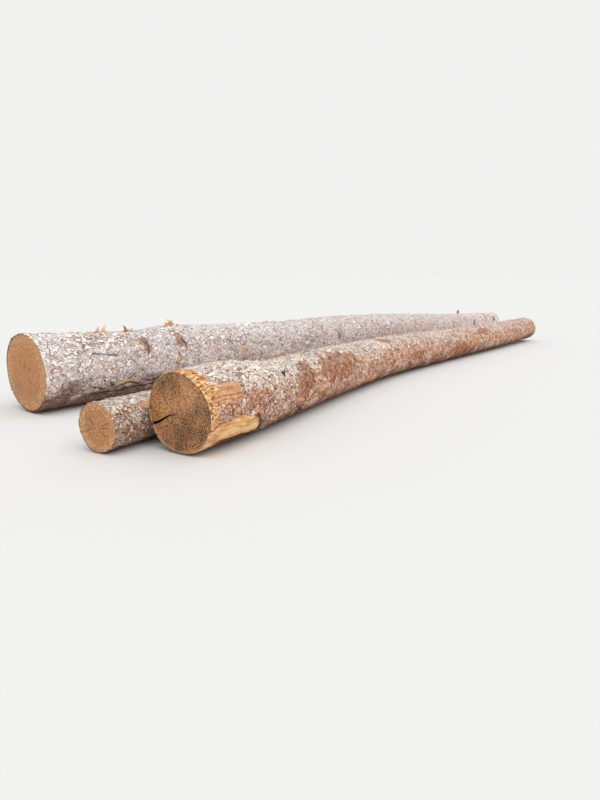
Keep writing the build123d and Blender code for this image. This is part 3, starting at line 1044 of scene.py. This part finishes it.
def bark_base(s, flat):
    """Bark scales of several tones, from warm to cool."""
    plate_tone, plate_chance = s.cells(PLATE_SCALE, flat)
    chip_tone, chip_chance = s.cells(CHIP_SCALE, flat)
    speck = s.noise(150, 5, flat, 0.65)
    blot = s.noise(23, 5, flat, 0.62)
    lit = s.plus(blot, s.times(s.attribute("white"), 0.1))
    cloud = s.plus(s.times(s.noise(7, 5), 1.4), -0.7)
    colour = s.layers(
        s.mix(s.range(s.plus(s.attribute("warm"), cloud), 0.2, 0.8), "cool", "warm"),
        (plate_tone, 0.5, 0.9, 0.7, "scale"),
        (plate_chance, 0.62, 0.9, 0.7, "deep"),
        (chip_tone, 0.55, 0.9, 0.6, "scale"),
        (chip_chance, 0.62, 0.9, 0.7, "deep"),
        (blot, 0.45, 0.36, 0.65, "deep"),
        (lit, 0.58, 0.64, 0.6, "pale"),
        (speck, 0.53, 0.58, 0.75, "pale"),
        (speck, 0.46, 0.4, 0.8, "deep"),
        (speck, 0.4, 0.34, 0.8, "gap"),
    )
    return colour, plate_tone, chip_tone, speck


def flecks(s, flat):
    """Noise that is higher where the bark is whitened."""
    return s.plus(s.noise(52, 6, flat, 0.68), s.times(s.attribute("white"), 0.26))


def bark_material(name, tones):
    """Flaky bark: scales, whitened flecks, painted shade in its crevices, gaps and cracks and on its lower
    side, and the painted places.
    """
    s = Shader(name, tones)
    ragged = s.warped(s.warped(s.place, 11, 0.045), 55, 0.018)
    flat = s.stretched(ragged, 0.85)
    colour, plate_tone, chip_tone, speck = bark_base(s, flat)
    plate_edge = s.cell_edge(PLATE_SCALE, flat)
    chip_edge = s.cell_edge(CHIP_SCALE, flat)
    streaks = s.noise(95, 4, s.stretched(s.place, 0.1), 0.6)
    swirl = s.noise(34, 4, s.stretched(s.warped(s.place, 5, 0.1), 0.16), 0.6)
    split = s.noise(80, 4, s.stretched(s.place, 0.35), 0.6)
    grain = s.plus(s.times(streaks, 0.6), s.times(s.noise(60, 5, flat, 0.6), 0.4))
    cream = s.range(s.noise(46, 5, flat), 0.36, 0.56)
    colour = s.painted(
        s.layers(colour, (flecks(s, flat), 0.6, 0.67, 0.88, "pale")),
        ("grey", 0.4, s.mix(s.noise(30, 4), (150, 150, 152), (206, 202, 200))),
        ("pale", 0.85, s.mix(cream, (204, 172, 146), (250, 243, 234))),
        ("tan", 0.9, s.mix(s.range(grain, 0.4, 0.6), "tan low", "tan high")),
        ("bare", 0.7, s.mix(s.range(s.noise(60, 5, flat), 0.38, 0.62), "bare low", "bare high")),
        ("fresh", 1, s.mix(s.range(swirl, 0.36, 0.62), (204, 142, 88), (250, 210, 154))),
        ("torn", 1, s.mix(s.range(split, 0.4, 0.56), (140, 76, 38), (250, 206, 148))),
    )
    peeled = s.times(s.attribute("tan"), 0.7)
    wood = s.math("MAXIMUM", s.attribute("fresh"), s.attribute("torn"), peeled)
    covered = s.math("SUBTRACT", 1, wood)
    under = s.attribute("under")
    # Painted shade: gaps between plates and chips, thin dark lines and the crevices, deeper on the lower
    # side, all kept off bare wood
    gaps = s.times(s.range(plate_edge, 0.1, 0.02), s.range(s.noise(19, 4), 0.44, 0.55))
    small_gaps = s.times(s.range(chip_edge, 0.12, 0.02), s.range(s.noise(33, 4), 0.48, 0.58))
    level = s.math("ABSOLUTE", s.plus(s.noise(23, 5, ragged, 0.6), -0.5))
    lines = s.times(s.range(level, 0.02, 0.004), s.range(s.noise(10, 3), 0.48, 0.6))
    deep = s.times(s.attribute("crevice"), s.plus(s.times(under, 0.4), 0.6))
    lines = s.times(lines, 0.9)
    dark = s.math("MAXIMUM", s.times(gaps, 0.9), s.times(small_gaps, 0.75), lines, deep)
    colour = s.mix(s.times(dark, covered), colour, "gap")
    # Painted shade on the lower side, kept off bare wood: turned towards one tone, then multiplied by
    # another
    shaded = s.times(under, covered)
    colour = s.mix(s.times(shaded, 0.3), colour, "under")
    colour = s.mix(shaded, colour, "painted_shade", "MULTIPLY")
    # Painted shade in cracks, holes, slits and splits
    colour = s.painted(colour, ("dark", 0.92, "dark"))
    height = s.plus(
        s.rise(plate_edge, 0, 0.14, 0.5),
        s.times(plate_tone, 0.45),
        s.rise(chip_edge, 0, 0.16, 0.2),
        s.plus(s.times(chip_tone, 0.3), s.times(speck, 0.35)),
    )
    height = s.plus(s.times(height, covered), s.times(streaks, 0.35))
    return s.finish(colour, 0.86, height, 1, 0.009)


def butt_material(name):
    """Weathered sawn end grain: fuzzy, blotched, split, pale at its upper rim, with painted light and shade
    in broad fields.
    """
    s = Shader(name)
    radial = s.attribute("radial")
    fuzz = s.noise(66, 6, None, 0.7)
    fine = s.noise(150, 4, None, 0.65)
    patch = s.noise(13, 4, None, 0.6)
    wobble = s.plus(s.times(s.noise(9, 3), 0.1), s.times(fuzz, 0.03))
    rings = s.math("SINE", s.times(s.plus(radial, wobble), 105))
    rough = s.range(s.plus(s.times(fuzz, 0.75), s.times(patch, 0.25)), 0.39, 0.6)
    # Painted shade where "bare" marks the face, painted light where "fresh" does; the other tints are the
    # wood's
    colour = s.painted(
        s.mix(rough, (104, 58, 30), (222, 156, 104)),
        ("tan", 0.9, s.mix(rough, (132, 66, 24), (218, 146, 84))),
        ("bare", 0.95, s.mix(rough, (52, 38, 28), (126, 94, 70))),
        ("grey", 0.9, s.mix(rough, (62, 50, 36), (164, 138, 110))),
        ("fresh", 0.75, s.mix(rough, (150, 96, 60), (236, 178, 130))),
    )
    # Painted shade, multiplied in where "torn" marks the face
    colour = s.mix(s.times(s.attribute("torn"), 0.9), colour, (186, 176, 170), "MULTIPLY")
    arcs = s.plus(s.times(s.attribute("pale"), 0.5), 0.12)
    edge = s.plus(s.times(s.attribute("grey"), 0.6), 0.25)
    colour = s.layers(
        colour,
        (rings, 0.1, 0.9, arcs, (206, 156, 108)),
        (fine, 0.53, 0.6, 0.75, (232, 188, 144)),
        (fine, 0.46, 0.38, 0.7, (66, 40, 24)),
        (radial, 0.955, 0.985, edge, (216, 186, 152)),
        # Painted shade in the drying check
        (s.attribute("dark"), 0, 0.4, 1, (34, 20, 13)),
    )
    return s.finish(colour, 0.92, s.plus(fuzz, s.times(fine, 0.5)), 1, 0.01)


def end_material(name):
    """Newer sawn end grain: rings, darker heartwood, pale sapwood."""
    s = Shader(name)
    radial = s.attribute("radial")
    wavy = s.plus(radial, s.times(s.noise(7, 4), 0.22))
    rings = s.math("SINE", s.times(wavy, 150))
    fibre = s.noise(70, 6, None, 0.7)
    colour = s.layers(
        s.mix(s.range(fibre, 0.36, 0.64), (178, 122, 78), (232, 188, 142)),
        (wavy, 0.9, 0.7, 0.5, s.mix(fibre, (150, 88, 52), (214, 150, 104))),
        (rings, -0.6, 1, 0.4, (164, 108, 66)),
        (s.noise(6, 4), 0.5, 0.66, 0.45, (150, 124, 100)),
        (radial, 0.955, 0.975, 1, (108, 70, 50)),
    )
    # Painted shade in the fine drying checks
    colour = s.painted(colour, ("dark", 1, (60, 36, 24)))
    height = s.plus(s.times(fibre, 0.8), s.rise(rings, -1, 1, 0.3))
    return s.finish(colour, 0.9, height, 0.9, 0.004)


def flake_material(name, tones):
    """Loose scales with the colours of the bark round them."""
    s = Shader(name, tones)
    flat = s.stretched(s.warped(s.place, 55, 0.018), 0.85)
    tone = s.attribute("tone")
    colour = s.layers(
        bark_base(s, flat)[0],
        (tone, 0.45, 1, 0.7, "scale"),
        (tone, 0.22, 0, 0.8, "deep"),
        (s.plus(flecks(s, flat), s.times(tone, 0.1)), 0.64, 0.72, 0.85, "pale"),
    )
    # Painted shade on the lower side, as on the bark round the flakes
    colour = s.painted(colour, ("under", 0.3, "under"))
    colour = s.mix(s.attribute("under"), colour, "painted_shade", "MULTIPLY")
    return s.finish(colour, 0.86, s.noise(180, 4), 0.6, 0.002)


def sliver_material(name, low, high, pale):
    """Torn wood and bast, streaked along the fibres."""
    s = Shader(name)
    tone = s.attribute("tone")
    fibre = s.noise(150, 4, s.stretched(s.place, 0.4), 0.6)
    colour = s.mix(s.range(tone, 0, 0.6), low, high)
    colour = s.layers(colour, (tone, 0.6, 1, 1, pale), (fibre, 0.5, 0.3, 0.6, low))
    return s.finish(colour, 0.82, fibre, 0.8, 0.002)


# Bark tones of the front, rear and middle log, as they look on a screen
TONES = {
    "cool": [(230, 160, 136), (255, 220, 212), (208, 168, 150)],
    "warm": [(255, 166, 110), (255, 226, 200), (216, 162, 124)],
    "scale": [(255, 204, 162), (255, 247, 242), (236, 204, 180)],
    "deep": [(176, 98, 62), (228, 174, 156), (160, 106, 78)],
    "pale": [(255, 243, 231), (254, 249, 246), (250, 238, 224)],
    # The next four tones are painted shade: the lower side is turned towards the first and multiplied by the
    # second, the third darkens gaps and crevices, the fourth cracks, holes and splits
    "under": [(106, 66, 46), (96, 66, 52), (118, 82, 62)],
    "painted_shade": [(176, 158, 150), (182, 158, 146), (186, 166, 154)],
    "gap": [(104, 58, 40), (150, 104, 90), (96, 60, 44)],
    "dark": [(58, 33, 24), (58, 42, 38), (62, 40, 30)],
    "tan low": [(176, 106, 64), (184, 136, 104), (190, 136, 98)],
    "tan high": [(236, 182, 136), (232, 196, 160), (232, 190, 150)],
    "bare low": [(136, 76, 46), (122, 78, 56), (140, 86, 58)],
    "bare high": [(224, 144, 94), (200, 144, 110), (216, 150, 108)],
}

# Along each log: how warm and how white the bark is, how much whiter its top is, painted light over the
# bark's own whitening, how strong the painted shade on its lower side is, and the sine of the angle below
# which shade is painted
FRONT_LOOKS = {
    "places": [0, 0.5, 0.9, 1.3, 2.2, 4, 7.8],
    "warm": [0.2, 0.05, 0.35, 0.8, 0.85, 0.85, 0.85],
    "white": [0.06, 0.08, 0.34, 0.24, 0.26, 0.28, 0.28],
    "top": [1.05, 1.05, 0.9, 0.75, 0.6, 0.45, 0.3],
    "painted_shade": [0.6, 0.8, 1, 1, 1, 1, 1],
    "under": -0.2,
}
REAR_LOOKS = {
    "places": [0, 0.8, 1.6, 3, 5, 9.3],
    "warm": [0.4, 0.25, 0.3, 0.2, 0.15, 0.2],
    "white": [0.6, 0.56, 0.62, 0.62, 0.5, 0.44],
    "top": [0.6, 0.5, 0.4, 0.35, 0.35, 0.35],
    "painted_shade": [1.3, 1.3, 1.1, 0.9, 0.9, 0.9],
    "under": -0.05,
}
MIDDLE_LOOKS = {
    "places": [0, 2, 6.3],
    "warm": [0.5, 0.6, 0.6],
    "white": [0.22, 0.2, 0.2],
    "top": [0.35, 0.35, 0.35],
    "painted_shade": [0.8, 1, 1],
    "under": -0.3,
}


def make_floor():
    """A plain pale floor, as bright as the sky behind it."""
    material = bpy.data.materials.new("floor_pale")
    material.use_nodes = True
    surface = material.node_tree.nodes["Principled BSDF"]
    surface.inputs["Base Color"].default_value = FLOOR_COLOUR
    surface.inputs["Roughness"].default_value = 0.9
    mesh = bpy.data.meshes.new("floor")
    sides = [(-1, -1), (1, -1), (1, 1), (-1, 1)]
    corners = [(FLOOR_HALF * x, FLOOR_HALF * y, 0) for x, y in sides]
    mesh.from_pydata(corners, [], [(0, 1, 2, 3)])
    mesh.materials.append(material)
    floor = add_object("floor", mesh)
    floor.location.z = -FLOOR_DROP


def make_light():
    """A plain white sky that the camera sees a little brighter, and one wide lamp."""
    world = bpy.data.worlds.new("studio")
    bpy.context.scene.world = world
    world.use_nodes = True
    nodes = Nodes(world.node_tree)
    light = nodes.tree.nodes["Background"]
    nodes.fill(light, {"Color": (1, 1, 1, 1), "Strength": SKY_STRENGTH})
    seen = nodes.add("ShaderNodeBackground", {"Color": (1, 1, 0.995, 1), "Strength": SEEN_SKY})
    rays = nodes.add("ShaderNodeLightPath").outputs
    factor = rays["Is Camera Ray"]
    for label in ("Is Glossy Ray", "Is Transmission Ray"):
        factor = nodes.add("ShaderNodeMath", {0: factor, 1: rays[label]}, operation="MAXIMUM").outputs[0]
    blend = nodes.add("ShaderNodeMixShader", {0: factor, 1: light.outputs[0], 2: seen.outputs[0]})
    nodes.fill(nodes.tree.nodes["World Output"], {"Surface": blend.outputs[0]})
    sky = bpy.data.lights.new("soft_sky", "SUN")
    sky.energy = LAMP_STRENGTH
    sky.angle = math.radians(LAMP_SPREAD)
    lamp = add_object("soft_sky", sky)
    lamp.rotation_euler = [math.radians(angle) for angle in LAMP_TILT]


def make_camera():
    data = bpy.data.cameras.new("camera")
    data.sensor_width = 36
    data.lens = CAMERA_LENS
    data.clip_end = 500
    camera = add_object("camera", data)
    camera.location = CAMERA_PLACE
    pitch = math.radians(90 - CAMERA_PITCH)
    camera.rotation_euler = (pitch, 0, math.radians(CAMERA_HEADING - 90))
    bpy.context.scene.camera = camera


def add_piece(piece, slot, *materials):
    """Give a piece its materials and its body."""
    for material in materials:
        piece.data.materials.append(material)
    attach(piece, "root")


def dress(node, patches, cracks, looks, number, thick_end, plate, seed, flakes, flake_size, crest):
    """Bark, sawn faces, cut branches and loose scales of one log, with its number in TONES."""
    tones = {name: colours[number] for name, colours in TONES.items()}
    log, piece = make_log(node, patches, cracks, looks, plate, seed)
    slot = node.replace("_log", "_bark")
    add_piece(piece, slot, bark_material(slot, tones), thick_end)
    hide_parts(node)
    scales_name = node + "_flakes"
    loose = make_flakes(log, scales_name, flakes, flake_size, crest, seed + 500)
    add_piece(loose, slot, flake_material(scales_name, tones))
    add_piece(make_stubs(log, node + "_stubs", seed + 600), slot, stub_wood)
    return log


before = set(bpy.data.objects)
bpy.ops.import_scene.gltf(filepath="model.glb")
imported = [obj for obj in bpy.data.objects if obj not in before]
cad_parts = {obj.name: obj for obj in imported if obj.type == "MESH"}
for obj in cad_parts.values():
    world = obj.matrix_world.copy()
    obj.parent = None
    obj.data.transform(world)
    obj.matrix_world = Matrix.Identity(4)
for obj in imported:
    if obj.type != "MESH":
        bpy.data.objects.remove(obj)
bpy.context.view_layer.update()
bpy.context.scene.view_settings.view_transform = "Standard"
make_camera()
make_light()
make_floor()

butt = butt_material("butt_sawn")
ends = end_material("end_sawn")
shred_wood = sliver_material("shred_wood", (190, 122, 82), (234, 176, 132), (250, 224, 196))
fibre_wood = sliver_material("fibre_wood", (96, 56, 36), (216, 150, 90), (248, 218, 174))
stub_wood = sliver_material("stub_wood", (120, 78, 56), (196, 150, 116), (240, 214, 180))

front = dress("front_log", FRONT_PATCHES, FRONT_CRACKS, FRONT_LOOKS, 0, butt,
              plate=0.06, seed=1, flakes=3800, flake_size=0.015, crest=FRONT_CREST)
rear = dress("rear_log", REAR_PATCHES, REAR_CRACKS, REAR_LOOKS, 1, ends,
             plate=0.068, seed=2, flakes=4200, flake_size=0.0175, crest=REAR_CREST)
dress("middle_log", MIDDLE_PATCHES, MIDDLE_CRACKS, MIDDLE_LOOKS, 2, ends,
      plate=0.05, seed=3, flakes=1500, flake_size=0.013, crest=MIDDLE_CREST)

add_piece(make_shreds(rear, "rear_log_splinters", REAR_SHREDS, REAR_STRIPS, 40), "rear_bark", shred_wood)
add_piece(make_shreds(front, "front_log_strips", [], FRONT_STRIPS, 41), "front_bark", fibre_wood)
add_piece(make_fibres(front, "front_log_fibres", 110, 42), "front_bark", fibre_wood)
